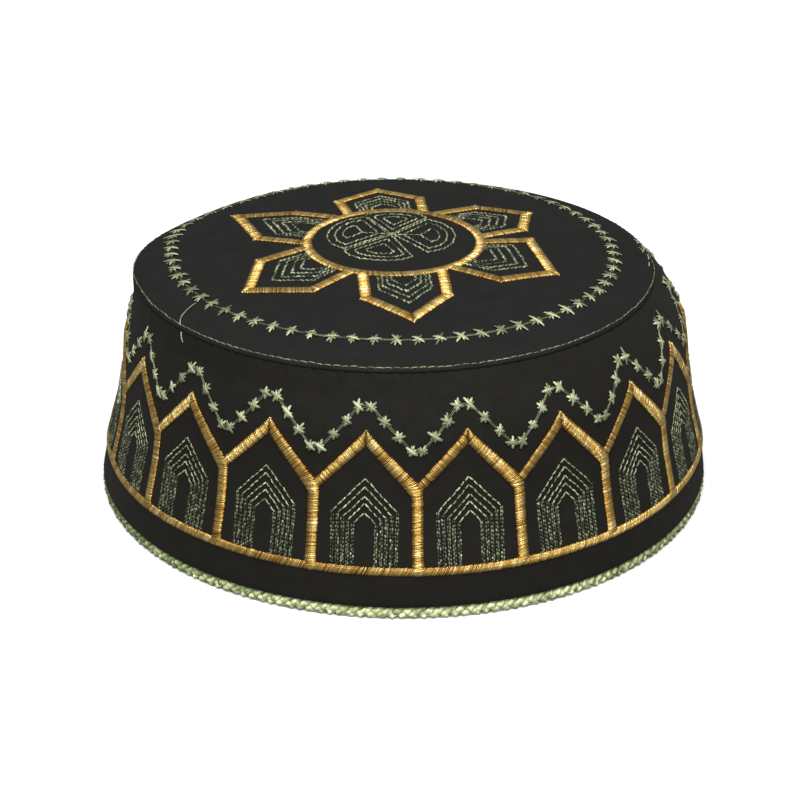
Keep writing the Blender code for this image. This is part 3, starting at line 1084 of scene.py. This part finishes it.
def make_petal_lines():
    """In each petal, the window inside its strips, drawn in towards the middle of its foot by
    each share in turn, and backstitched from foot to foot."""
    groups = []
    for number in range(len(petals)):
        window = inset(petal_outline(number), (petal_width,) * 4 + (window_foot,))
        foot = 0.5 * (window[0] + window[-1])
        for share in petal_shares:
            groups.append(backstitch(foot + share * (window - foot), petal_stitch))
    ends = np.concatenate(groups)
    points, lift = laid(ends, green_rise, 4, 0.8, 0.00016)
    lines, up = raised(crown_surface, points[..., 0], points[..., 1], lift)
    tones = thread_tones(points, 0.0, filling_grain, 0.15) - 0.28
    section = (petal_half, green_height)
    return thread_piece("petal_lines", lines, up, *section, tones, 5, green_finish)


petal_lines = make_petal_lines()
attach(petal_lines, "root")


def lobe_loop(middle, half, gap, radius):
    """A closed loop in a lobe of the rosette: from near the middle out beside one of the lobe's
    edges, round an arc that draws in towards its ends, and back beside the other."""
    side = half - np.arcsin(gap / radius)
    turn = middle + np.concatenate([[0.0], np.linspace(-side, side, 7), [0.0]])
    arc = radius * (1 - loop_rounding * np.linspace(-1, 1, 7) ** 4)
    reach = np.concatenate([[gap / sin(half)], arc, [gap / sin(half)]])
    return rosette_middle + reach[:, None] * np.stack([np.sin(turn), -np.cos(turn)], -1)


def make_rosette():
    """Each lobe's three loops, a step apart, and in the two wide lobes a stem from the middle
    of the rosette to the innermost loop."""
    groups = []
    for middle, half, reach, gaps in lobes:
        for number, gap in enumerate(gaps):
            radius = (rosette_radius - number * lobe_step) * reach
            loop = lobe_loop(radians(middle), radians(half), gap, radius)
            groups.append(backstitch(loop, green_stitch))
        if half > 45:
            groups.append(backstitch(np.array([rosette_middle, loop[0]]), green_stitch))
    ends = np.concatenate(groups)
    points, lift = laid(ends, green_rise, 4, 0.7, 0.00008)
    lines, up = raised(crown_surface, points[..., 0], points[..., 1], lift)
    tones = thread_tones(points, 0.0, filling_grain, 0.15) - 0.17
    section = (rosette_half, green_height)
    return thread_piece("rosette", lines, up, *section, tones, 5, green_finish)


rosette = make_rosette()
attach(rosette, "root")

# A line of fine green backstitch just inside the crown's edge goes through both cloths and
# holds the crown down over the band.
rim_stitch_radius = 0.0786
rim_stitch_length = 0.0024
rim_stitch_section = (0.00018, 0.00016)


def make_rim_stitch():
    """A whole number of stitches round a circle that widens a little everywhere but in front."""
    count = int(tau * rim_stitch_radius / rim_stitch_length)
    turn = np.arange(count + 1) * tau / count
    radius = rim_stitch_radius + 0.0006 * np.clip(1 - 3 * np.cos(turn), 0, 1)
    places = radius[:, None] * np.stack([np.sin(turn), -np.cos(turn)], 1)
    ends = np.stack([places[:-1], places[1:]], 1)
    points, lift = laid(ends, 0.00025, 4, 0.7, 0.00008)
    lines, up = raised(crown_surface, points[..., 0], points[..., 1], lift)
    tones = chance.uniform(0.15, 0.5, len(ends))
    section = rim_stitch_section
    return thread_piece("rim_stitch", lines, up, *section, tones, 5, green_finish)


rim_stitch = make_rim_stitch()
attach(rim_stitch, "root")

# A few green stitches stray: a travelling thread runs from the star ring over the edge and
# down on to the band, and some long stitches lie inside the rim's line at the other side.
stray_lines = (
    ((-0.0571, -0.0392), (-0.0612, -0.0458), (-0.0611, -0.0499)),
    ((0.0747, 0.0190), (0.0760, 0.0160)),
    ((0.0766, 0.0142), (0.0774, 0.0100)),
    ((0.0757, 0.0120), (0.0768, 0.0080)),
    ((0.0777, 0.0070), (0.0780, 0.0030)),
    ((0.0778, 0.0005), (0.0776, -0.0032)),
)
stray_stitch = 0.008
stray_section = (0.0002, 0.00018)
stub_angle = radians(-49.8)
stub_line = ((0.0, 0.0676), (0.0005, 0.0652))


def make_loose_stitches():
    """Long stitches along the stray lines on the crown, and one that comes out of the seam on
    the band below."""
    ends = np.concatenate([backstitch(np.array(line), stray_stitch) for line in stray_lines])
    points, lift = laid(ends, 0.0004, 6, 0.6)
    lines, up = raised(crown_surface, points[..., 0], points[..., 1], lift)
    points, lift = laid(np.array([stub_line]), 0.0003, 6, 0.6)
    stub, stub_up = on_band(points, lift, stub_angle)
    lines = np.concatenate([lines, stub])
    up = np.concatenate([up, stub_up])
    tones = chance.uniform(0.4, 0.8, len(lines))
    section = stray_section
    return thread_piece("loose_stitches", lines, up, *section, tones, 5, green_finish)


loose_stitches = make_loose_stitches()
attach(loose_stitches, "root")

# The cap stands on a plain white floor under soft studio light from above and in front. The
# floor gives back less light than the eye sees on it, so that the cap's foot stays dark.
floor_half = 4.0
floor_seen = (0.95, 0.95, 0.95, 1.0)
floor_given = (0.15, 0.15, 0.15, 1.0)
floor_mesh = bpy.data.meshes.new("floor")
floor_signs = ((-1, -1), (1, -1), (1, 1), (-1, 1))
floor_corners = [(x * floor_half, y * floor_half, 0.0) for x, y in floor_signs]
floor_mesh.from_pydata(floor_corners, [], [(0, 1, 2, 3)])
floor = bpy.data.objects.new("floor", floor_mesh)
bpy.context.scene.collection.objects.link(floor)
floor_finish, floor_tree, floor_shader = new_material("white_floor", roughness=0.9)
seen = node(floor_tree, "ShaderNodeLightPath")
tint = node(floor_tree, "ShaderNodeMix", {0: seen.outputs["Is Camera Ray"]}, data_type="RGBA")
tint.inputs[6].default_value = floor_given
tint.inputs[7].default_value = floor_seen
floor_tree.links.new(tint.outputs[2], floor_shader.inputs["Base Color"])
floor_mesh.materials.append(floor_finish)

world = bpy.data.worlds.new("studio")
world.use_nodes = True
background = world.node_tree.nodes["Background"]
background.inputs["Color"].default_value = (1.0, 1.0, 1.0, 1.0)
background.inputs["Strength"].default_value = 0.13
bpy.context.scene.world = world
bpy.context.scene.view_settings.view_transform = "Standard"


def add_light(name, place, aim, size, power):
    """A soft rectangular light at a place, turned to shine at the aim."""
    lamp = bpy.data.lights.new(name, "AREA")
    lamp.shape = "RECTANGLE"
    lamp.size, lamp.size_y = size
    lamp.energy = power
    made = bpy.data.objects.new(name, lamp)
    made.location = place
    made.rotation_euler = (made.location - aim).to_track_quat("Z", "Y").to_euler()
    bpy.context.scene.collection.objects.link(made)


middle_of_cap = 0.5 * (cad_box[0] + cad_box[1])
add_light("key", (0.0, -1.0, 3.0), middle_of_cap, (3.2, 1.7), 158.0)
add_light("front", (0.0, -1.7, 0.7), middle_of_cap, (1.0, 0.5), 16.0)

# The camera stands where the photograph was taken from: in front, looking down on the cap.
camera_data = bpy.data.cameras.new("camera")
camera_data.lens = 107.2
camera_data.sensor_width = 36.0
camera_data.clip_start = 0.01
camera = bpy.data.objects.new("camera", camera_data)
camera.location = (0.0, -0.6701, 0.3551)
camera.rotation_euler = (radians(90.0 - 26.40), 0.0, radians(0.10))
bpy.context.scene.collection.objects.link(camera)
bpy.context.scene.camera = camera
